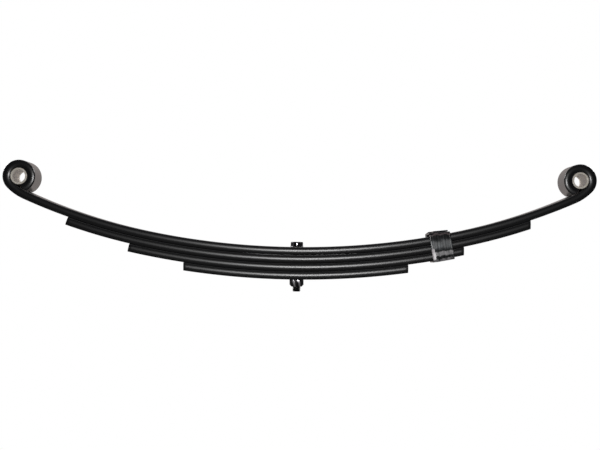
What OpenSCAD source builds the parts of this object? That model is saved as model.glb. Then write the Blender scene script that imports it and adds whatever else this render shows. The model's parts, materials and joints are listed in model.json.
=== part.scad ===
// Double-eye trailer leaf spring: four nested leaves, centre bolt and nut, one rebound clip,
// two eye bushes. The spring runs along X, its width is along Y and Z is up, towards the frame.
// The origin is on the centre bolt's axis, on the main leaf's top surface.

/* [Leaves] */
// Width of every leaf
leaf_w = 44.45; // [40:0.05:50]
// Thickness of every leaf, paint included
leaf_t = 9.3; // [8.5:0.01:9.3]
// Step from one leaf to the next
leaf_pitch = 9.35; // [9.35:0.01:9.6]
// Radius of the rolled side edge of a leaf
edge_r = 17; // [12, 15, 17, 18]
// Radius of the hole for the centre bolt
bolt_hole_r = 5; // [4.9:0.05:6]

/* [Arch] */
// Top surface radius of the middle stretch of the main leaf
mid_r = 877.5; // [850:2.5:950]
// Slope where the middle stretch ends, left and right
mid_slope = [11.5, 12.8]; // [11:0.1:14]
// Top surface radius of the stretch from there to the eyes
outer_r = 661; // [640:1:680]
// Slope where the outer stretch ends
outer_slope = 23.8; // [23:0.05:25]

/* [Eyes] */
// Lower surface radius of the short bend into an eye
bend_r = 60; // [58:0.5:66]
// Slope where the bend meets the eye
bend_slope = 45.5; // [43:0.5:48]
// Radius of the eye's bore
eye_r = 9.55; // [9.55:0.01:9.6]
// Angle that the eye is rolled through
eye_roll = 288; // [275:1:289]

/* [Lower leaves] */
// Reach of the second leaf from the bolt, left and right
second_reach = [262, 267]; // [250:0.5:275]
// Reach of the third leaf from the bolt, left and right
third_reach = [191.5, 191]; // [185:0.5:205]
// Reach of the fourth leaf from the bolt, left and right
fourth_reach = [129.5, 127.5]; // [100:0.5:150]

/* [Centre bolt] */
// Radius of the bolt's shank
shank_r = 4.7625; // [4.5:0.0025:4.7625]
// Radius of the round locating head
head_r = 7.1; // [6.5:0.05:8]
// Height of the locating head
head_h = 6; // [4:0.1:8]
// Width of the nut across its flats
nut_af = 14.29; // [13:0.01:16]
// Height of the nut
nut_h = 8.3; // [6:0.1:9]
// Length of thread that stands out of the nut
thread_out = 5.7; // [2:0.1:8]

/* [Rebound clip] */
// Distance of the clip's middle from the bolt
clip_x = 162.9; // [150:0.1:170]
// Width of the strap along the leaf
strap_w = 24.5; // [20:0.5:28]
// Thickness of the strap
strap_t = 1.7; // [1.5:0.1:3]
// Room between the strap and the leaves
strap_gap = 0.3; // [0.3:0.05:0.6]
// Tilt of the folded-over ends against the leaf
tab_tilt = 5; // [0:0.1:6]
// Width of the upper end, which is folded over the lower one
upper_tab_w = 16.8; // [12:0.1:18]
// Distance of the upper end's middle from the clip's middle
upper_tab_shift = 2; // [0:0.1:3]

/* [Eye bushes] */
// Radius of the bush's bore, for the shackle or hanger bolt
bush_bore_r = 7.25; // [6.5:0.05:8]
// Outer radius of the bush
bush_r = 9.5; // [9.45:0.01:9.52]
// Chamfer on the bush's rims
bush_chamfer = 0.5; // [0.2:0.1:0.8]

/* [Hidden] */
$fn = 256;

LEFT = -1;
RIGHT = 1;
PAINT = [0.07, 0.07, 0.075];
CLIP_PAINT = [0.22, 0.22, 0.23];
STEEL = [0.12, 0.12, 0.13];
NYLON = [0.72, 0.70, 0.64];

stack_t = 3 * leaf_pitch + leaf_t;      // all four leaves, on the bolt's axis
clipped_t = 2 * leaf_pitch + leaf_t;    // the three leaves inside the clip
mid_centre = [0, mid_r];                // centres of curvature are [x, z]
joint_step = 0.03;                      // each further stretch is slimmer by this all round,
joint_lap = 0.3;                        // and starts this far inside the stretch before it
rolled_r = eye_r - 3 * joint_step;      // the eye is the third further stretch
beyond = 250;                           // length of a tool that cuts off a leaf's end
through = 100;                          // length of a tool that cuts right across

// The centre that a further arc turns about, drop nearer to the leaf on the line at this slope.
function next_centre(centre, drop, side, slope) = centre + drop * [side * sin(slope), -cos(slope)];
function pick(pair, side) = side == LEFT ? pair[0] : pair[1];
function outer_centre(side) =
    next_centre(mid_centre, mid_r - outer_r, side, pick(mid_slope, side));
function bend_centre(side) =
    next_centre(outer_centre(side), outer_r - (bend_r - leaf_t), side, outer_slope);
function eye_centre(side) =
    next_centre(bend_centre(side), bend_r - leaf_t - rolled_r, side, bend_slope);

// A leaf's top surface, level leaves below the main one: its slope and height at distance x.
function on_middle(level, side, x) =
    x < (mid_r + level * leaf_pitch) * sin(pick(mid_slope, side));
function top_slope(level, side, x) = on_middle(level, side, x)
    ? asin(x / (mid_r + level * leaf_pitch))
    : asin((x - side * outer_centre(side)[0]) / (outer_r + level * leaf_pitch));
function top_z(level, side, x) = on_middle(level, side, x)
    ? mid_r - (mid_r + level * leaf_pitch) * cos(top_slope(level, side, x))
    : outer_centre(side)[1] - (outer_r + level * leaf_pitch) * cos(top_slope(level, side, x));

// The cross-section of a leaf: thickness along X, width along Y, with rolled side edges.
module leaf_section(slimmer) {
    intersection() {
        square([leaf_t - 2 * slimmer, leaf_w], center = true);
        union() {
            square([leaf_t, leaf_w - 2 * edge_r], center = true);
            for (s = [-1, 1])
                translate([0, s * (leaf_w / 2 - edge_r)]) circle(r = edge_r - slimmer);
        }
    }
}

// A stretch of leaf that turns about a centre, between two signed slopes.
module arc_bar(centre, inner_r, from, to, slimmer) {
    translate([centre[0], 0, centre[1]])
        rotate([90, 0, 0])
            rotate([0, 0, from - 90])
                rotate_extrude(angle = to - from)
                    translate([inner_r + leaf_t / 2, 0]) leaf_section(slimmer);
}

// A further stretch on one side, number 1 or more outwards from the middle stretch.
module side_bar(centre, inner_r, side, from, to, number) {
    lap = joint_lap / (inner_r + leaf_t / 2) * 180 / PI;
    start = from - lap;
    slimmer = number * joint_step;
    if (side == LEFT) arc_bar(centre, inner_r, -to, -start, slimmer);
    else arc_bar(centre, inner_r, start, to, slimmer);
}

// The arched bar that every leaf shares, level leaves below the main one.
module arched_bar(level) {
    arc_bar(mid_centre, mid_r + level * leaf_pitch, -mid_slope[0], mid_slope[1], 0);
    for (side = [LEFT, RIGHT])
        side_bar(outer_centre(side), outer_r + level * leaf_pitch, side,
            pick(mid_slope, side), outer_slope, 1);
}

module bolt_hole() {
    translate([0, 0, -through / 2]) cylinder(r = bolt_hole_r, h = through);
}

// Cuts a leaf off beyond its reach, square to the leaf or plumb.
module end_cut(level, side, reach, square_cut) {
    lean = square_cut ? top_slope(level, side, reach) : 0;
    translate([side * reach, 0, top_z(level, side, reach)])
        rotate([0, -side * lean, 0])
            translate([side * beyond / 2, 0, 0]) cube([beyond, through, 2 * beyond], center = true);
}

module lower_leaf(level, reach, square_left) {
    color(PAINT) difference() {
        arched_bar(level);
        bolt_hole();
        end_cut(level, LEFT, reach[0], square_left);
        end_cut(level, RIGHT, reach[1], false);
    }
}

module main_leaf() {
    color(PAINT) difference() {
        union() {
            arched_bar(0);
            for (side = [LEFT, RIGHT]) {
                side_bar(bend_centre(side), bend_r - leaf_t, side, outer_slope, bend_slope, 2);
                side_bar(eye_centre(side), rolled_r, side, bend_slope, bend_slope + eye_roll, 3);
            }
        }
        bolt_hole();
    }
}

module second_leaf() lower_leaf(1, second_reach, true);

module third_leaf() lower_leaf(2, third_reach, true);

module fourth_leaf() lower_leaf(3, fourth_reach, false);

// The bolt: a round head on top of the main leaf and a thread end below the nut.
module centre_bolt() {
    seat = head_r * head_r / (2 * mid_r);   // rise of the arched leaf under the head's rim
    chamfer = 0.6;
    end = stack_t + nut_h + thread_out;
    color(STEEL) rotate_extrude() polygon([
        [0, -end], [shank_r - chamfer, -end], [shank_r, chamfer - end], [shank_r, seat],
        [head_r, seat], [head_r, head_h - chamfer], [head_r - chamfer, head_h], [0, head_h]
    ]);
}

// A hexagon nut with a corner at each end of the X axis and a chamfered lower side.
module centre_nut() {
    flat_r = nut_af / 2;
    corner_r = flat_r / cos(30);
    outside = corner_r + 1;
    bore = shank_r + 0.04;
    color(STEEL) translate([0, 0, -stack_t - nut_h]) intersection() {
        cylinder(r = corner_r, h = nut_h, $fn = 6);
        rotate_extrude() polygon([
            [bore, 0], [flat_r, 0], [outside, outside - flat_r], [outside, nut_h + 1], [bore, nut_h + 1]
        ]);
    }
}

// A bar along X with rounded long edges: its Y and Z limits are given.
module rounded_bar(length, y, z, r) {
    rotate([90, 0, 90]) linear_extrude(height = length, center = true) union() {
        translate([y[0] + r, z[0]]) square([y[1] - y[0] - 2 * r, z[1] - z[0]]);
        translate([y[0], z[0] + r]) square([y[1] - y[0], z[1] - z[0] - 2 * r]);
        for (a = [y[0] + r, y[1] - r], b = [z[0] + r, z[1] - r]) translate([a, b]) circle(r = r);
    }
}

// Tilts the folded ends of the strap about the clip's right edge, where they lie on the leaf.
module tab_frame() {
    translate([strap_w / 2, 0, 0]) rotate([0, tab_tilt, 0]) translate([-strap_w / 2, 0, 0]) children();
}

// The strap round the top three leaves: its front end is folded over the main leaf, and its
// back end is folded over that.
module rebound_clip() {
    slope = asin(clip_x / mid_r);
    inner_y = leaf_w / 2 + strap_gap;
    outer_y = inner_y + strap_t;
    floor_z = -clipped_t - strap_gap;
    lid_z = strap_gap + 0.1;
    half_z = -clipped_t / 2;
    inner_bend = 0.8;
    outer_bend = inner_bend + strap_t;
    layer_gap = 0.2;
    upper_z = lid_z + strap_t + layer_gap;
    lower_end = inner_y - 2;
    upper_end = -17;
    long = 2 * strap_w;
    tab_h = upper_z + strap_t;
    color(CLIP_PAINT)
        translate([0, 0, mid_r]) rotate([0, -slope, 0]) translate([0, 0, -mid_r]) {
            difference() {
                intersection() {
                    cube([strap_w, through, through], center = true);
                    union() {
                        rounded_bar(long, [-outer_y, outer_y], [floor_z - strap_t, lid_z], outer_bend);
                        tab_frame()
                            rounded_bar(long, [-outer_y, outer_y], [half_z, lid_z + strap_t], outer_bend);
                    }
                }
                rounded_bar(long, [-inner_y, inner_y], [floor_z, lid_z], inner_bend);
                tab_frame() rounded_bar(long, [-inner_y, inner_y], [half_z, lid_z], inner_bend);
                tab_frame() translate([-long / 2, lower_end, lid_z - inner_bend])
                    cube([long, inner_y - lower_end, strap_t + 2 * inner_bend]);
            }
            tab_frame() intersection() {
                translate([upper_tab_shift, 0, 0]) cube([upper_tab_w, through, through], center = true);
                difference() {
                    rounded_bar(long, [-outer_y, outer_y], [half_z, tab_h], outer_bend);
                    rounded_bar(long, [-through, inner_y], [half_z - 1, upper_z], inner_bend);
                    translate([-long / 2, -through, upper_z - 1]) cube([long, through + upper_end, through]);
                    translate([-long / 2, -through, half_z - 1]) cube([long, through, upper_z - half_z]);
                }
            }
        }
}

module eye_bush(side) {
    centre = eye_centre(side);
    half = leaf_w / 2;
    straight = half - bush_chamfer;
    color(NYLON) translate([centre[0], 0, centre[1]]) rotate([90, 0, 0]) rotate_extrude() polygon([
        [bush_bore_r, -straight], [bush_bore_r + bush_chamfer, -half], [bush_r - bush_chamfer, -half],
        [bush_r, -straight], [bush_r, straight], [bush_r - bush_chamfer, half],
        [bush_bore_r + bush_chamfer, half], [bush_bore_r, straight]
    ]);
}

module left_eye_bush() eye_bush(LEFT);

module right_eye_bush() eye_bush(RIGHT);

main_leaf();
second_leaf();
third_leaf();
fourth_leaf();
centre_bolt();
centre_nut();
rebound_clip();
left_eye_bush();
right_eye_bush();
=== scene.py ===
"""Looks of a double-eye trailer leaf spring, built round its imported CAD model. Lengths are in metres."""

import json
import math

import bmesh
import bpy
import numpy as np
from mathutils import Matrix, Vector


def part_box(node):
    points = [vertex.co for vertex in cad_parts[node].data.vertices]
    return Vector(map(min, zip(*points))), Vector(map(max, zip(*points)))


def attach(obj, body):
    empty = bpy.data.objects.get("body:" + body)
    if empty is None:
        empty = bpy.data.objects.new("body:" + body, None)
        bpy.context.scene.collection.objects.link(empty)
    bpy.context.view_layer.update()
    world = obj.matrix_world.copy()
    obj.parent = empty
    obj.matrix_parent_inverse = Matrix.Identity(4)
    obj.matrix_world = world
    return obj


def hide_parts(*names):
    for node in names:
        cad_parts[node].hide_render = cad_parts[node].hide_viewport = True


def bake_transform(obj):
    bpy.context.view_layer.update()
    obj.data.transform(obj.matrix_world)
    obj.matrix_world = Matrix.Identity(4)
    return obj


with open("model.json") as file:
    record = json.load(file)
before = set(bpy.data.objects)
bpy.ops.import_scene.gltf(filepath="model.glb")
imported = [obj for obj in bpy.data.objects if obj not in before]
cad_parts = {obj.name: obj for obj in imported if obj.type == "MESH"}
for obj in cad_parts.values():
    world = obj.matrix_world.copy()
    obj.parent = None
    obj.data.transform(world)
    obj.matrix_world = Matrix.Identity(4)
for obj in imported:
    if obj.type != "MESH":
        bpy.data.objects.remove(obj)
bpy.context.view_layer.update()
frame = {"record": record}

# --- Driving sizes of the spring, as in the CAD model ---------------------------------------
LEAF_T = 0.0093           # thickness of a leaf, paint included
LEAF_PITCH = 0.00935      # step from one leaf to the next
MID_R = 0.8775            # top surface radius of the middle stretch
MID_SLOPE = {-1: 11.5, 1: 12.8}   # degrees at its end, left and right
OUTER_R = 0.661           # top surface radius of the outer stretch
OUTER_SLOPE = 23.8        # degrees at its end
BEND_R = 0.060            # lower surface radius of the bend into an eye
BEND_SLOPE = 45.5         # degrees where the bend turns into the roll
EYE_R = 0.00946           # radius of the rolled eye's bore
EYE_ROLL = 288            # degrees of roll after the bend
BOLT_HOLE_R = 0.005
SHANK_R = 0.0047625       # the centre bolt, 3/8-16
THREAD_PITCH = 0.001588
CLIP_X = 0.1629           # distance of the clip's middle from the bolt
CLIP_T = 0.0017           # thickness of the clip's strap
CLIP_W = 0.0245           # width of the clip's strap
CLIP_GAP = 0.0003         # room between the strap and the leaves' sides
TAB_TILT = 5              # degrees that the folded ends are tilted
UPPER_TAB_W = 0.0168      # width of the upper folded end
UPPER_TAB_SHIFT = 0.002   # and its distance from the strap's middle

LEFT, RIGHT = -1, 1
SIDES = {"left": LEFT, "right": RIGHT}
TAU = 2 * math.pi

# --- Looks: rounding and detail that the plain CAD solids leave out -----------------------------
CROWN_R = 0.0125          # radius of a leaf's rolled side edge
CORNER_R = 0.0013         # rounding between the side edge and the flats
END_ROUND = 0.0003        # rounding of a sheared leaf end
TIP_GAP = 0.0004          # room between the eye's tip and the bend
TIP_REACH = 13            # degrees that the eye's tip reaches beyond the plain roll
THREAD_DEPTH = 0.0009
PLATE_TOP = 0.0449        # length of strap before the clip's front plate

LEAF_W = 2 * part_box("main_leaf")[1].y
bolt_lo, bolt_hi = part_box("centre_bolt")
nut_lo, nut_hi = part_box("centre_nut")


# --- Mesh helpers -----------------------------------------------------------------------------
def add_mesh(name, verts, faces, strip=None, sharp=40):
    """A closed smooth-shaded mesh. strip is one vector a vertex: along, across and through the strip."""
    mesh = bpy.data.meshes.new(name)
    mesh.from_pydata([tuple(v) for v in verts], [], faces)
    bm = bmesh.new()
    bm.from_mesh(mesh)
    bmesh.ops.recalc_face_normals(bm, faces=bm.faces)
    bm.to_mesh(mesh)
    bm.free()
    if strip is not None:
        attribute = mesh.attributes.new("strip", "FLOAT_VECTOR", "POINT")
        attribute.data.foreach_set("vector", np.asarray(strip, np.float32).ravel())
    mesh.shade_smooth()
    mesh.set_sharp_from_angle(angle=math.radians(sharp))
    obj = bpy.data.objects.new(name, mesh)
    bpy.context.scene.collection.objects.link(obj)
    return obj


def loft(name, rings, strip=None, sharp=40):
    """Joins rings of points, all of one length, into a closed bar with a flat cap at each end."""
    rings = np.asarray(rings, float)
    count, size = rings.shape[:2]
    faces = []
    for i in range(count - 1):
        for j in range(size):
            k = (j + 1) % size
            faces.append((i * size + j, i * size + k, (i + 1) * size + k, (i + 1) * size + j))
    faces.append(tuple(range(size - 1, -1, -1)))
    faces.append(tuple((count - 1) * size + j for j in range(size)))
    flat = None if strip is None else np.asarray(strip, float).reshape(-1, 3)
    return add_mesh(name, rings.reshape(-1, 3), faces, flat, sharp)


def lathe(name, profile, segments=96, sharp=40, ring=False):
    """Turns (radius, height) points about Z. A ring's profile closes on itself, and any other one starts
    and ends at radius 0."""
    angles = np.arange(segments) * TAU / segments
    verts, rows = [], []
    for r, z in profile:
        if r == 0:
            rows.append([len(verts)])
            verts.append((0, 0, z))
        else:
            rows.append(list(range(len(verts), len(verts) + segments)))
            verts += [(r * math.cos(a), r * math.sin(a), z) for a in angles]
    faces = []
    pairs = list(zip(rows, rows[1:]))
    if ring:
        pairs.append((rows[-1], rows[0]))
    for a, b in pairs:
        for j in range(segments):
            k = (j + 1) % segments
            corners = [a[j % len(a)], a[k % len(a)], b[k % len(b)], b[j % len(b)]]
            faces.append(tuple(dict.fromkeys(corners)))
    return add_mesh(name, verts, faces, None, sharp)


def fillet(centre, radius, start, end, steps=5):
    """Points of a round corner, from one angle in degrees to another."""
    angles = [math.radians(a) for a in np.linspace(start, end, steps + 1)]
    return [(centre[0] + radius * math.cos(a), centre[1] + radius * math.sin(a)) for a in angles]


def smooth_step(share):
    """Zero up to a share of 0, one from a share of 1, and an even curve between them."""
    share = min(1.0, max(0.0, share))
    return share * share * (3 - 2 * share)


# --- The leaves ---------------------------------------------------------------------------------
def leaf_section():
    """(across, up) points round a leaf: crowned side edges, small round corners and flat faces."""
    half_w, half_t = LEAF_W / 2, LEAF_T / 2
    crown = half_w - CROWN_R
    corner_up = half_t - CORNER_R
    corner_across = crown + math.sqrt((CROWN_R - CORNER_R) ** 2 - corner_up ** 2)
    lean = math.degrees(math.asin(corner_up / (CROWN_R - CORNER_R)))
    quarter = fillet((crown, 0), CROWN_R, 0, lean, 6)
    quarter += fillet((corner_across, corner_up), CORNER_R, lean, 90, 6)[1:]
    hold = corner_across - 0.0004     # a line of points that keeps the face flat beside its corner
    quarter += [(y, half_t) for y in (hold, 0.75 * hold, 0.5 * hold, 0.25 * hold)]
    upper = quarter + [(0, half_t)] + [(-y, z) for y, z in reversed(quarter)]
    lower = [(y, -z) for y, z in reversed(upper[1:-1])]
    return upper + lower


def stretches(side):
    """The main leaf's arcs on one side: centre, top surface radius and the slope where each ends."""
    def next_centre(centre, drop, slope):
        a = math.radians(slope)
        return centre + drop * np.array([side * math.sin(a), -math.cos(a)])
    middle = np.array([0.0, MID_R])
    outer = next_centre(middle, MID_R - OUTER_R, MID_SLOPE[side])
    bend = next_centre(outer, OUTER_R - (BEND_R - LEAF_T), OUTER_SLOPE)
    eye = next_centre(bend, BEND_R - LEAF_T - EYE_R, BEND_SLOPE)
    return [(middle, MID_R, MID_SLOPE[side]), (outer, OUTER_R, OUTER_SLOPE),
            (bend, BEND_R - LEAF_T, BEND_SLOPE), (eye, EYE_R, BEND_SLOPE + EYE_ROLL + TIP_REACH)]


def on_strip(side, slope, y, depth):
    """A point of the strip where it has this slope, depth below the main leaf's top surface."""
    for centre, radius, last in stretches(side):
        if slope <= last:
            break
    a = math.radians(slope)
    x, z = centre + (radius + depth) * np.array([side * math.sin(a), -math.cos(a)])
    return (x, y, z)


def slope_at(side, x, depth):
    """The slope where the strip at this depth is a distance x from the bolt."""
    for centre, radius, last in stretches(side)[:2]:
        slope = math.degrees(math.asin((x - side * centre[0]) / (radius + depth)))
        if slope <= last:
            break
    return slope


def end_rings(side, section, level, end_slope):
    """The last rings of a leaf: its section, drawn in round a small radius. end_slope(depth, back) is the
    slope at this depth, a distance back from the end."""
    rings = []
    for turn in (0, 30, 60, 90):
        inset = END_ROUND * (1 - math.cos(math.radians(turn)))
        back = END_ROUND * (1 - math.sin(math.radians(turn)))
        ring = []
        for y, up in section:
            y *= 1 - inset / (LEAF_W / 2)
            up *= 1 - inset / (LEAF_T / 2)
            depth = level * LEAF_PITCH + LEAF_T / 2 - up
            ring.append(on_strip(side, end_slope(depth, back), y, depth))
        rings.append(ring)
    return rings


def drill(obj, radius):
    """Cuts the centre bolt's hole through a leaf."""
    below, above = -0.05, 0.02
    cutter = lathe("drill", [(0, below), (radius, below), (radius, above), (0, above)], 64)
    cut = obj.modifiers.new("hole", "BOOLEAN")
    cut.operation = "DIFFERENCE"
    cut.solver = "EXACT"
    cut.object = cutter
    graph = bpy.context.evaluated_depsgraph_get()
    mesh = bpy.data.meshes.new_from_object(obj.evaluated_get(graph))
    obj.modifiers.clear()
    obj.data = mesh
    bpy.data.objects.remove(cutter)


def half_leaf(name, level, side, last_slope, end_slope):
    """One half of a leaf, from the bolt's axis to its end. Its rings lean more and more towards the end."""
    section = leaf_section()
    slopes = [0.0]
    for _, radius, last in stretches(side):
        first, last = slopes[-1], min(last, last_slope)
        if last <= first:
            break
        count = max(2, round((radius + LEAF_T) * math.radians(last - first) / leaf_step(radius)))
        slopes += list(np.linspace(first, last, count + 1)[1:])
    rings = []
    for slope in slopes[:-1]:
        ring = []
        for y, up in section:
            depth = level * LEAF_PITCH + LEAF_T / 2 - up
            lean = end_slope(depth, 2 * END_ROUND) - last_slope
            ring.append(on_strip(side, slope + lean * (slope / last_slope) ** 8, y, depth))
        rings.append(ring)
    rings += end_rings(side, section, level, end_slope)
    middles = [np.mean(np.asarray(ring), axis=0) for ring in rings]
    strip, along = [], 0.0
    for before, middle in zip([middles[0]] + middles, middles):
        along += float(np.linalg.norm(middle - before))
        strip.append([(side * along, y, up) for y, up in section])
    obj = loft(name, rings, strip)
    drill(obj, BOLT_HOLE_R)
    return obj


def leaf_step(radius):
    """Distance between rings: close together on the tight arcs."""
    return 0.003 if radius > 0.1 else 0.0012


def plumb_end(side, reach):
    """An end cut plumb, at this distance from the bolt."""
    return lambda depth, back: slope_at(side, reach - back, depth)


def square_end(side, reach, bottom):
    """An end cut square to the leaf, whose lowest corner reaches furthest."""
    slope = slope_at(side, reach, bottom)
    return lambda depth, back: slope - math.degrees(back / OUTER_R)


def eye_end(side):
    """The tip of the roll is cut obliquely, along the bend that it closes against."""
    away = BEND_R - LEAF_T - EYE_R
    wall = BEND_R - LEAF_T - TIP_GAP
    last = BEND_SLOPE + EYE_ROLL

    def end_slope(depth, back):
        r = EYE_R + depth
        lean = math.acos((wall ** 2 - away ** 2 - r ** 2) / (2 * away * r))
        tip = BEND_SLOPE + 360 - math.degrees(lean)
        return min(tip, last + TIP_REACH) - math.degrees(back / (EYE_R + LEAF_T / 2))
    return end_slope


LEAVES = ["main_leaf", "second_leaf", "third_leaf", "fourth_leaf"]
SQUARE_ENDS = [("second_leaf", LEFT), ("third_leaf", LEFT)]


def build_leaf(node, material):
    """Both halves of a leaf."""
    level = LEAVES.index(node)
    lo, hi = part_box(node)
    bottom = level * LEAF_PITCH + LEAF_T
    for word, side in SIDES.items():
        reach = hi.x if side == RIGHT else -lo.x
        if node == "main_leaf":
            ending = eye_end(side)
        elif (node, side) in SQUARE_ENDS:
            ending = square_end(side, reach, bottom)
        else:
            ending = plumb_end(side, reach)
        last = ending(bottom - LEAF_T / 2, 0)
        obj = half_leaf(f"{node}_{word}", level, side, last, ending)
        finish_piece(obj, material, "leaf_paint", node)
        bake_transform(obj)


# --- Materials ----------------------------------------------------------------------------------
def mix_colours(tree, share, first, second):
    """Turns from a first to a second colour with the share. Each is a colour or the output of a node."""
    node = tree.nodes.new("ShaderNodeMix")
    node.data_type = "RGBA"
    tree.links.new(share, node.inputs["Factor"])
    for socket, value in ((node.inputs[6], first), (node.inputs[7], second)):
        if isinstance(value, tuple):
            socket.default_value = (*value, 1)
        else:
            tree.links.new(value, socket)
    return node.outputs[2]


class Nodes:
    """Short names for the shader nodes that the materials use."""

    def __init__(self, name):
        self.material = bpy.data.materials.new(name)
        self.material.use_nodes = True
        self.tree = self.material.node_tree
        self.shader = self.tree.nodes["Principled BSDF"]

    def add(self, kind, **values):
        node = self.tree.nodes.new(kind)
        for key, value in values.items():
            setattr(node, key, value)
        return node

    def link(self, a, b):
        self.tree.links.new(a, b)

    def place(self, strip, stretch=(1, 1, 1)):
        """Coordinates in metres: along a strip, or the object's own."""
        if strip:
            source = self.add("ShaderNodeAttribute", attribute_name="strip").outputs["Vector"]
        else:
            source = self.add("ShaderNodeTexCoord").outputs["Object"]
        scaling = self.add("ShaderNodeVectorMath", operation="MULTIPLY")
        scaling.inputs[1].default_value = stretch
        self.link(source, scaling.inputs[0])
        return scaling.outputs[0]

    def noise(self, where, scale, detail=4.0, roughness=0.55):
        node = self.add("ShaderNodeTexNoise")
        node.inputs["Scale"].default_value = scale
        node.inputs["Detail"].default_value = detail
        node.inputs["Roughness"].default_value = roughness
        self.link(where, node.inputs["Vector"])
        return node.outputs["Fac"]

    def ramp(self, value, low, high, out_low, out_high):
        """Maps the range from low to high onto another one, smoothly."""
        node = self.add("ShaderNodeMapRange", interpolation_type="SMOOTHSTEP")
        limits = {"From Min": low, "From Max": high, "To Min": out_low, "To Max": out_high}
        for key, number in limits.items():
            node.inputs[key].default_value = number
        self.link(value, node.inputs["Value"])
        return node.outputs["Result"]

    def mix(self, share, first, second):
        return mix_colours(self.tree, share, first, second)

    def math(self, operation, a, b):
        node = self.add("ShaderNodeMath", operation=operation)
        for socket, value in zip(node.inputs, (a, b)):
            if isinstance(value, (int, float)):
                socket.default_value = value
            else:
                self.link(value, socket)
        return node.outputs[0]

    def bump(self, height, distance, normal=None):
        node = self.add("ShaderNodeBump")
        node.inputs["Strength"].default_value = 1.0
        node.inputs["Distance"].default_value = distance
        self.link(height, node.inputs["Height"])
        if normal is not None:
            self.link(normal, node.inputs["Normal"])
        return node.outputs["Normal"]

    def finish(self, colour, roughness, normal):
        self.link(colour, self.shader.inputs["Base Color"])
        self.link(roughness, self.shader.inputs["Roughness"])
        self.link(normal, self.shader.inputs["Normal"])
        return self.material


def leaf_paint():
    """Black chassis enamel over rolled steel: drawn out along the strip, a little dusty and uneven."""
    n = Nodes("leaf_paint")
    along = n.place(True, (1, 6, 6))
    even = n.place(True)
    streaks = n.noise(along, 60, 5, 0.6)
    dust = n.noise(even, 140, 6, 0.65)
    peel = n.noise(even, 700, 2, 0.5)
    waves = n.noise(along, 45, 3, 0.5)
    body = n.mix(n.ramp(streaks, 0.35, 0.7, 0, 1), (0.0043, 0.0043, 0.0050), (0.0101, 0.0101, 0.0108))
    colour = n.mix(n.ramp(dust, 0.56, 0.75, 0, 0.3), body, (0.0360, 0.0338, 0.0310))
    rough = n.math("ADD", n.ramp(streaks, 0.3, 0.7, 0.23, 0.29), n.ramp(dust, 0.5, 0.8, 0, 0.12))
    normal = n.bump(peel, 0.00001, n.bump(waves, 0.00012))
    return n.finish(colour, rough, normal)


def clip_paint():
    """Black paint over a hammered steel strap: dark at its bends and ends, a painted pinkish highlight line
    at the foot of the upper front bend, a painted grey sheen on the front plate, two pale bands low down
    and a painted highlight down the left border."""
    n = Nodes("clip_paint")
    where = n.place(True)
    parts = n.add("ShaderNodeSeparateXYZ")
    n.link(where, parts.inputs["Vector"])
    across, along = parts.outputs["X"], parts.outputs["Y"]
    blotches = n.noise(n.place(True, (1, 0.4, 1)), 420, 4, 0.6)
    wander = n.noise(where, 160, 3, 0.5)
    dents = n.noise(where, 420, 3, 0.5)
    grain = n.noise(where, 1500, 3, 0.6)
    down = n.math("ADD", along, n.ramp(wander, 0.3, 0.7, -0.0009, 0.0009))

    def band(start, end, soft):
        """One between two distances along the strap, zero outside."""
        rise = n.ramp(down, start - soft, start + soft, 0, 1)
        fall = n.ramp(down, end - soft, end + soft, 1, 0)
        return n.math("MULTIPLY", rise, fall)

    # Painted sheen: the front plate gets a lighter grey than the rest of the strap, for the light it
    # catches, while the bends and ends keep the dark paint.
    plate = band(PLATE_TOP + 0.0062, PLATE_TOP + 0.0152, 0.0038)
    # Two pale bands low down, the lower one along the bottom bend.
    pale_band = band(PLATE_TOP + 0.0184, PLATE_TOP + 0.0232, 0.0007)
    lip = band(PLATE_TOP + 0.0268, PLATE_TOP + 0.0300, 0.0008)
    shade = n.ramp(blotches, 0.36, 0.66, 0.25, 1)
    # Painted highlight: a thin pinkish line where the upper bend turns into the front plate.
    fold_highlight = band(PLATE_TOP - 0.0009, PLATE_TOP + 0.0004, 0.0003)
    colour = n.mix(n.ramp(dents, 0.35, 0.7, 0, 1), (0.0035, 0.0038, 0.0042), (0.010, 0.011, 0.012))
    # The painted pinkish highlight line.
    colour = n.mix(fold_highlight, colour, (0.085, 0.068, 0.070))
    # The painted grey sheen on the front plate, mottled by the blotches.
    colour = n.mix(n.math("MULTIPLY", plate, shade), colour, (0.050, 0.061, 0.070))
    pale = n.math("MAXIMUM", pale_band, lip)
    colour = n.mix(n.math("MULTIPLY", pale, shade), colour, (0.25, 0.24, 0.25))
    # Painted highlight: a pale colour down the lower part of the front plate's left border.
    left = n.ramp(across, -CLIP_W / 2 + 0.0031, -CLIP_W / 2 + 0.0038, 1, 0)
    low = n.ramp(down, PLATE_TOP + 0.0125, PLATE_TOP + 0.0165, 0, 1)
    low = n.math("MULTIPLY", low, n.ramp(down, PLATE_TOP + 0.0255, PLATE_TOP + 0.0275, 1, 0))
    border = n.math("MULTIPLY", left, low)
    # The painted highlight on the left border.
    colour = n.mix(border, colour, (0.50, 0.47, 0.49))
    dull = n.math("MAXIMUM", n.math("MAXIMUM", plate, pale), border)
    rough = n.math("ADD", n.ramp(dull, 0, 1, 0.17, 0.25), n.ramp(blotches, 0.3, 0.7, 0.05, 0.0))
    n.link(n.ramp(dull, 0, 1, 0.1, 0.5), n.shader.inputs["Specular IOR Level"])
    normal = n.bump(grain, 0.000006, n.bump(dents, 0.00004))
    return n.finish(colour, rough, normal)


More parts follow.
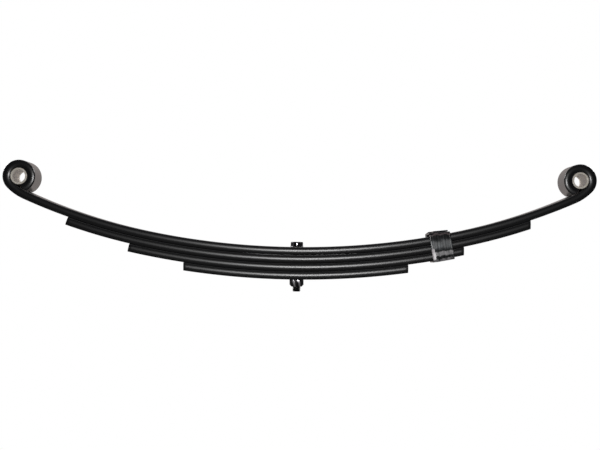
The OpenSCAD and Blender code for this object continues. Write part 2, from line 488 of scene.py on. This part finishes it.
def bolt_steel():
    """Black oxide on the centre bolt, rubbed bright in upright patches."""
    n = Nodes("bolt_steel")
    where = n.place(False)
    upright = n.place(False, (1.0, 1.0, 0.35))
    patches = n.noise(where, 300, 5, 0.6)
    rubs = n.noise(upright, 520, 2, 0.5)
    grain = n.noise(where, 1800, 3, 0.6)
    oxide = n.mix(n.ramp(patches, 0.4, 0.7, 0, 1), (0.022, 0.021, 0.023), (0.06, 0.058, 0.06))
    colour = n.mix(n.ramp(rubs, 0.5, 0.64, 0, 1), oxide, (0.24, 0.235, 0.25))
    rough = n.ramp(rubs, 0.45, 0.65, 0.22, 0.15)
    normal = n.bump(grain, 0.00001, n.bump(patches, 0.00005))
    n.shader.inputs["Metallic"].default_value = 0.9
    n.shader.inputs["Specular Tint"].default_value = (0.25, 0.25, 0.25, 1)
    return n.finish(colour, rough, normal)


def nut_steel():
    """Black oxide on the centre nut, its flats rubbed bright in slanted streaks by the spanner."""
    n = Nodes("nut_steel")
    where = n.place(False)
    parts = n.add("ShaderNodeSeparateXYZ")
    n.link(where, parts.inputs["Vector"])
    patches = n.noise(where, 300, 5, 0.6)
    grain = n.noise(where, 1800, 3, 0.6)
    slanted = n.math("ADD", parts.outputs["X"], n.math("MULTIPLY", parts.outputs["Z"], 0.3))
    slanted = n.math("ADD", slanted, n.ramp(patches, 0.3, 0.7, -0.0006, 0.0006))
    streak_step, phase = 0.006, 11.5
    wave = n.math("SINE", n.math("ADD", n.math("MULTIPLY", slanted, TAU / streak_step), phase), 0)
    streaks = n.ramp(wave, 0.25, 0.85, 0, 1)
    oxide = n.mix(n.ramp(patches, 0.4, 0.7, 0, 1), (0.02, 0.019, 0.021), (0.05, 0.048, 0.05))
    colour = n.mix(streaks, oxide, (0.75, 0.73, 0.76))
    rough = n.ramp(streaks, 0, 1, 0.34, 0.27)
    normal = n.bump(grain, 0.00001, n.bump(patches, 0.00003))
    n.shader.inputs["Metallic"].default_value = 0.9
    return n.finish(colour, rough, normal)


def bush_nylon():
    """Natural nylon, moulded, with a faint grain and some grime."""
    n = Nodes("bush_nylon")
    where = n.place(False)
    cloud = n.noise(where, 180, 4, 0.55)
    grain = n.noise(where, 1300, 3, 0.6)
    grime = n.noise(where, 420, 6, 0.7)
    body = n.mix(n.ramp(cloud, 0.35, 0.65, 0, 1), (0.49, 0.455, 0.40), (0.61, 0.575, 0.515))
    colour = n.mix(n.ramp(grime, 0.6, 0.8, 0, 0.5), body, (0.22, 0.20, 0.165))
    rough = n.ramp(cloud, 0.3, 0.7, 0.34, 0.26)
    n.shader.inputs["Specular IOR Level"].default_value = 0.75
    normal = n.bump(grain, 0.00002)
    n.shader.inputs["Subsurface Weight"].default_value = 0.15
    n.shader.inputs["Subsurface Radius"].default_value = (1.0, 0.9, 0.7)
    n.shader.inputs["Subsurface Scale"].default_value = 0.001
    return n.finish(colour, rough, normal)


def finish_piece(obj, material, slot, *nodes):
    """Gives a piece its material and hides the CAD nodes that it replaces."""
    obj.data.materials.clear()
    obj.data.materials.append(material)
    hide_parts(*nodes)


# --- Bolt, nut and bushes ----------------------------------------------------------------------
def build_head(material):
    """The round locating head: a foot that flares out and a slightly conical rim."""
    head_r, top = bolt_hi.x, bolt_hi.z
    seat, edge = 0.0002, 0.0002
    flare, flare_h = 0.0004, 0.0016
    rim_h, rim_in, round_r, round_end = 0.0013, 0.00035, 0.0003, 80
    foot = seat + edge
    wall = np.linspace(seat + flare_h + 0.0006, top - rim_h - edge, 3)
    dome = top - round_r + round_r * math.sin(math.radians(round_end))
    profile = [(0, seat), (head_r + flare - edge, seat), (head_r + flare, foot)]
    profile += [(head_r + flare * (1 - up) ** 2, foot + flare_h * up) for up in (0.25, 0.5, 0.75, 1)]
    profile += [(head_r, z) for z in wall]
    profile += [(head_r - rim_in * up, top - rim_h + (rim_h - round_r) * up) for up in (0, 0.2, 0.6, 1)]
    profile += fillet((head_r - rim_in - round_r, top - round_r), round_r, 10, round_end, 6)
    profile += [(0.5 * head_r, dome + 0.7 * (top - dome)), (0, top)]
    head = lathe("centre_bolt_head", profile, 96)
    finish_piece(head, material, "bolt_steel", "centre_bolt")
    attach(head, "centre_pack")


def build_thread(material):
    """The bolt's end below the nut: a real right-hand thread with a chamfered tip."""
    end, start = bolt_lo.z, nut_hi.z + 0.002
    tip_r, chamfer = SHANK_R - THREAD_DEPTH - 0.0002, 0.0009
    segments, rows_per_turn = 72, 12
    count = round((start - end) / THREAD_PITCH * rows_per_turn)
    rows = []
    for i in range(count + 1):
        z = end + (start - end) * i / count
        limit = tip_r + (z - end) * (SHANK_R - tip_r) / chamfer
        row = []
        for j in range(segments):
            a = TAU * j / segments
            turn = ((z - end) / THREAD_PITCH - j / segments) % 1
            # A V whose crest and root are cut off flat.
            groove = min(1.0, max(0.0, 1.35 * (1 - abs(2 * turn - 1)) - 0.12))
            r = min(SHANK_R - THREAD_DEPTH * groove, limit)
            row.append((r * math.cos(a), r * math.sin(a), z))
        rows.append(row)
    thread = loft("centre_bolt_thread", rows, sharp=60)
    finish_piece(thread, material, "bolt_steel", "centre_bolt")
    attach(thread, "centre_pack")


def build_nut(material):
    """A hexagon nut with corners on the X axis, its lower side chamfered all round."""
    flat_r = nut_hi.y
    top, bottom = nut_hi.z, nut_lo.z
    corner_blunt, chamfer, edge = 0.00015, 0.0012, 0.0002
    bore, entry_r, entry_h = 0.0048, 0.0007, 0.0006
    segments = 180

    def hexagon(a):
        """Outer radius at this angle, with the corners rounded off."""
        off = (a % (TAU / 6)) - TAU / 12
        corner = flat_r / math.cos(TAU / 12)
        return min(flat_r / math.cos(off), corner - corner_blunt)

    def section(a):
        """Eight (radius, height) corners at this angle: along the lower face, up the outside and back."""
        r = hexagon(a)
        low = bottom + max(0.0, r - (flat_r - chamfer))
        high = top - 0.25 * max(0.0, r - (flat_r + edge))
        return [
            (bore + entry_r, bottom), (flat_r - chamfer, bottom),
            (r - edge, low - 0.6 * edge), (r, low + edge),
            (r, high - 0.5 * edge), (r - 0.4 * edge, high),
            (bore, top), (bore, bottom + entry_h),
        ]

    angles = [TAU * j / segments for j in range(segments)]
    rows = list(zip(*(section(a) for a in angles)))
    verts = [(r * math.cos(a), r * math.sin(a), z) for row in rows for a, (r, z) in zip(angles, row)]
    faces = []
    for i in range(len(rows)):
        n = (i + 1) % len(rows)
        for j in range(segments):
            k = (j + 1) % segments
            faces.append((i * segments + j, i * segments + k, n * segments + k, n * segments + j))
    obj = add_mesh("centre_nut_hexagon", verts, faces, None, 35)
    finish_piece(obj, material, "bolt_steel", "centre_nut")
    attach(obj, "centre_pack")


def build_bush(word, material):
    """A plain moulded sleeve with rounded rims, in its eye."""
    node = f"{word}_eye_bush"
    lo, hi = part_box(node)
    mount = next(m for m in frame["record"]["mounts"] if m["name"] == f"{word}_eye_bore")
    outer = (hi.x - lo.x) / 2
    bore = mount["dims"]["r_mm"] / 1000
    half = (hi.y - lo.y) / 2
    rim = 0.0005
    profile = fillet((outer - rim, half - rim), rim, 0, 90, 4)
    profile += fillet((bore + rim, half - rim), rim, 90, 180, 4)
    profile += [(bore, y) for y in np.linspace(half - 2 * rim, -(half - 2 * rim), 9)]
    profile += fillet((bore + rim, rim - half), rim, 180, 270, 4)
    profile += fillet((outer - rim, rim - half), rim, 270, 360, 4)
    profile += [(outer, y) for y in np.linspace(-(half - 2 * rim), half - 2 * rim, 9)]
    obj = lathe(f"{word}_bush_sleeve", profile, 96, 50, ring=True)
    centre = (Vector(lo) + Vector(hi)) / 2
    obj.data.transform(Matrix.Translation(centre) @ Matrix.Rotation(math.radians(90), 4, "X"))
    finish_piece(obj, material, "bush_nylon", node)
    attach(obj, f"{word}_end")


# --- The rebound clip ---------------------------------------------------------------------------
def strap_line():
    """Middle line of the strap in (y, z), from its lower end round the leaves to its upper one, and the
    number of points before the upper end's bend."""
    inner_y = LEAF_W / 2 + CLIP_GAP
    middle_y = inner_y + CLIP_T / 2
    floor = -(2 * LEAF_PITCH + LEAF_T) - CLIP_GAP - CLIP_T / 2
    lower_lid = 0.0004 + CLIP_T / 2
    upper_lid = lower_lid + CLIP_T + 0.0002
    lower_end, upper_end = inner_y - 0.002, -0.017
    bend = 0.0008 + CLIP_T / 2
    side_y = middle_y - bend

    def corner(centre, start, end):
        return fillet(centre, bend, start, end, 6)

    line = [(y, lower_lid) for y in np.linspace(lower_end, -side_y, 40)[:-1]]
    line += corner((-side_y, lower_lid - bend), 90, 180)
    line += [(-middle_y, z) for z in np.linspace(lower_lid - bend, floor + bend, 28)[1:-1]]
    line += corner((-side_y, floor + bend), 180, 270)
    line += [(y, floor) for y in np.linspace(-side_y, side_y, 44)[1:-1]]
    line += corner((side_y, floor + bend), 270, 360)
    line += [(middle_y, z) for z in np.linspace(floor + bend, upper_lid - bend, 28)[1:-1]]
    before_tab = len(line)
    line += corner((side_y, upper_lid - bend), 0, 90)
    line += [(y, upper_lid) for y in np.linspace(side_y, upper_end, 38)[1:]]
    return np.array(line), before_tab


def strap_wear(x, half, z):
    """How far the strap's outer face lies below its full thickness: a rolled-off left border that is wider
    low down, long hammer waves and a burr on the right."""
    burr, lean, wave_h = 0.0015, 0.1, 0.000006
    border_w, widening = 0.0014, 0.0028
    widens_at, widens_over = 0.0135, 0.006
    border = border_w + widening * smooth_step((-z - widens_at) / widens_over)
    left = max(0.0, border - half - x) * lean
    right = max(0.0, x - (half - burr)) * lean
    waves = math.sin(TAU * x / 0.0052 + 40 * z) + math.sin(TAU * x / 0.0031 - 130 * z + 1.3)
    return left - right + wave_h * waves


def strap_section(width, z, worn):
    """(across, outward) points round the strap, with round edges and a worn outer face at this height."""
    half, edge = width / 2, CLIP_T / 2 - 0.0001
    flat = half - edge
    turns = [math.radians(a) for a in (67, 45, 22, 0, -22, -45, -67)]
    points = []
    for x in np.linspace(-flat, flat, 50):
        points.append((x, CLIP_T / 2 - (strap_wear(x, half, z) if worn else 0)))
    points += [(flat + edge * math.cos(a), CLIP_T / 2 * math.sin(a)) for a in turns]
    points += [(x, -CLIP_T / 2) for x in np.linspace(flat, -flat, 22)]
    points += [(-flat - edge * math.cos(a), CLIP_T / 2 * math.sin(a)) for a in reversed(turns)]
    return points


def tilt_tab(x, z):
    """Tilts the folded ends about the clip's right edge, where they lie on the leaf."""
    rise = 0.006
    turn = math.radians(TAB_TILT) * smooth_step((z + rise) / rise)
    away = x - CLIP_W / 2
    across = CLIP_W / 2 + away * math.cos(turn) + z * math.sin(turn)
    return across, -away * math.sin(turn) + z * math.cos(turn)


def build_clip(material):
    """A strap bent round the top three leaves, its ends folded one over the other."""
    line, before_tab = strap_line()
    narrowing = 8             # points over which the strap narrows to its upper end
    tangent = np.gradient(line, axis=0)
    tangent /= np.linalg.norm(tangent, axis=1)[:, None]
    outward = np.stack([-tangent[:, 1], tangent[:, 0]], 1)
    outward *= -1 if outward[0][1] < 0 else 1
    along = np.concatenate([[0], np.cumsum(np.linalg.norm(np.diff(line, axis=0), axis=1))])
    rings, strip = [], []
    for i, ((y, z), out) in enumerate(zip(line, outward)):
        share = min(1.0, max(0.0, (i - before_tab) / narrowing))
        width = CLIP_W + share * (UPPER_TAB_W - CLIP_W)
        section = [(x + share * UPPER_TAB_SHIFT, up) for x, up in strap_section(width, z, worn=share == 0)]
        ring = []
        for x, up in section:
            px, pz = tilt_tab(x, z + out[1] * up)
            ring.append((px, y + out[0] * up, pz))
        rings.append(ring)
        strip.append([(x, along[i], up) for x, up in section])
    rings = np.array(rings)
    slope = math.asin(CLIP_X / MID_R)
    x, z = rings[..., 0].copy(), rings[..., 2].copy() - MID_R
    rings[..., 0] = x * math.cos(slope) - z * math.sin(slope)
    rings[..., 2] = MID_R + x * math.sin(slope) + z * math.cos(slope)
    obj = loft("rebound_clip_strap", rings, strip, sharp=50)
    finish_piece(obj, material, "clip_paint", "rebound_clip")
    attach(obj, "clip")


# --- Stage, light and camera ------------------------------------------------------------------
CAMERA_PLACE = (0.00335, -1.6224, -0.01023)
CAMERA_PITCH = 1.265              # degrees upwards
CAMERA_ROLL = 0.568
CAMERA_LENS = 84.094
FLOOR_Z = -0.35
FLOOR_REACH = 1.2
BACKDROP = (1.0, 1.0, 1.0)        # what the camera sees all round
SOFT_GLOW = (0.34, 0.335, 0.33)   # soft light from all round, on matt surfaces
FLOOR_GLOW = (0.08, 0.08, 0.08)   # what glossy surfaces mirror: the floor,
FRONT_GLOW = (0.012, 0.0125, 0.0135)   # the dark room in front,
SIDE_GLOW = (0.17, 0.172, 0.178)  # a dim one at the sides,
TOP_GLOW = (0.95, 0.95, 0.97)     # a soft box overhead
BACK_GLOW = (0.56, 0.505, 0.485)  # and a bright wall far behind the spring


def build_camera():
    """The photograph's viewing angle: level with the spring and almost square to it."""
    data = bpy.data.cameras.new("camera")
    data.lens = CAMERA_LENS
    data.sensor_width = 36
    data.clip_start = 0.05
    camera = bpy.data.objects.new("camera", data)
    bpy.context.scene.collection.objects.link(camera)
    camera.matrix_world = (Matrix.Translation(CAMERA_PLACE)
                           @ Matrix.Rotation(math.radians(90 + CAMERA_PITCH), 4, "X")
                           @ Matrix.Rotation(math.radians(CAMERA_ROLL), 4, "Z"))
    bpy.context.scene.camera = camera


def area_light(name, place, size, power):
    """A round lamp that points at the middle of the spring."""
    middle = Vector((0, 0, 0.02))
    data = bpy.data.lights.new(name, "AREA")
    data.shape = "DISK"
    data.size = size
    data.energy = power
    light = bpy.data.objects.new(name, data)
    bpy.context.scene.collection.objects.link(light)
    light.location = place
    light.rotation_euler = (middle - Vector(place)).to_track_quat("-Z", "Y").to_euler()
    light.visible_camera = False


def seen_or_lit(tree, mirrored, target):
    """Gives camera rays the backdrop's colour, diffuse rays the soft light and others what is mirrored."""
    path = tree.nodes.new("ShaderNodeLightPath")
    soft = mix_colours(tree, path.outputs["Is Diffuse Ray"], mirrored, SOFT_GLOW)
    tree.links.new(mix_colours(tree, path.outputs["Is Camera Ray"], soft, BACKDROP), target)


def build_floor():
    """A pale floor that is seen from above only, so that the spring can be looked at from below."""
    corners = ((-1, -1), (1, -1), (1, 1), (-1, 1))
    verts = [(x * FLOOR_REACH, y * FLOOR_REACH, FLOOR_Z) for x, y in corners]
    mesh = bpy.data.meshes.new("floor")
    mesh.from_pydata(verts, [], [(0, 1, 2, 3)])
    floor = bpy.data.objects.new("floor", mesh)
    bpy.context.scene.collection.objects.link(floor)
    material = bpy.data.materials.new("pale_floor")
    material.use_nodes = True
    tree = material.node_tree
    glow = tree.nodes.new("ShaderNodeEmission")
    seen_or_lit(tree, FLOOR_GLOW, glow.inputs["Color"])
    one_sided = tree.nodes.new("ShaderNodeMixShader")
    side = tree.nodes.new("ShaderNodeNewGeometry")
    clear = tree.nodes.new("ShaderNodeBsdfTransparent")
    tree.links.new(side.outputs["Backfacing"], one_sided.inputs["Fac"])
    tree.links.new(glow.outputs["Emission"], one_sided.inputs[1])
    tree.links.new(clear.outputs["BSDF"], one_sided.inputs[2])
    tree.links.new(one_sided.outputs["Shader"], tree.nodes["Material Output"].inputs["Surface"])
    mesh.materials.append(material)


def build_world():
    """What is mirrored, by direction: each glow fades in between two values of one axis."""
    world = bpy.data.worlds.new("studio")
    bpy.context.scene.world = world
    world.use_nodes = True
    tree = world.node_tree
    where = tree.nodes.new("ShaderNodeTexCoord")
    parts = tree.nodes.new("ShaderNodeSeparateXYZ")
    tree.links.new(where.outputs["Generated"], parts.inputs["Vector"])
    source = FRONT_GLOW
    glows = [("Y", -0.80, -0.40, SIDE_GLOW), ("Z", 0.66, 0.92, TOP_GLOW), ("Y", 0.72, 0.93, BACK_GLOW)]
    for axis, dark, bright, colour in glows:
        share = tree.nodes.new("ShaderNodeMapRange")
        share.interpolation_type = "SMOOTHSTEP"
        share.inputs["From Min"].default_value = dark
        share.inputs["From Max"].default_value = bright
        tree.links.new(parts.outputs[axis], share.inputs["Value"])
        source = mix_colours(tree, share.outputs["Result"], source, colour)
    seen_or_lit(tree, source, tree.nodes["Background"].inputs["Color"])
    bpy.context.scene.view_settings.view_transform = "Standard"


def build_lights():
    """A small flash beside the camera, and two large soft lamps up behind the spring."""
    area_light("flash", (0.032, -1.60, 0.06), 0.06, 7.0)
    area_light("back_left", (-1.5, 0.9, 0.9), 0.8, 45.0)
    area_light("back_right", (1.4, 1.0, 1.1), 0.8, 35.0)


build_camera()
build_floor()
build_world()
build_lights()
paint = leaf_paint()
for leaf in LEAVES:
    build_leaf(leaf, paint)
steel = bolt_steel()
build_head(steel)
build_thread(steel)
build_nut(nut_steel())
nylon = bush_nylon()
for word in SIDES:
    build_bush(word, nylon)
build_clip(clip_paint())
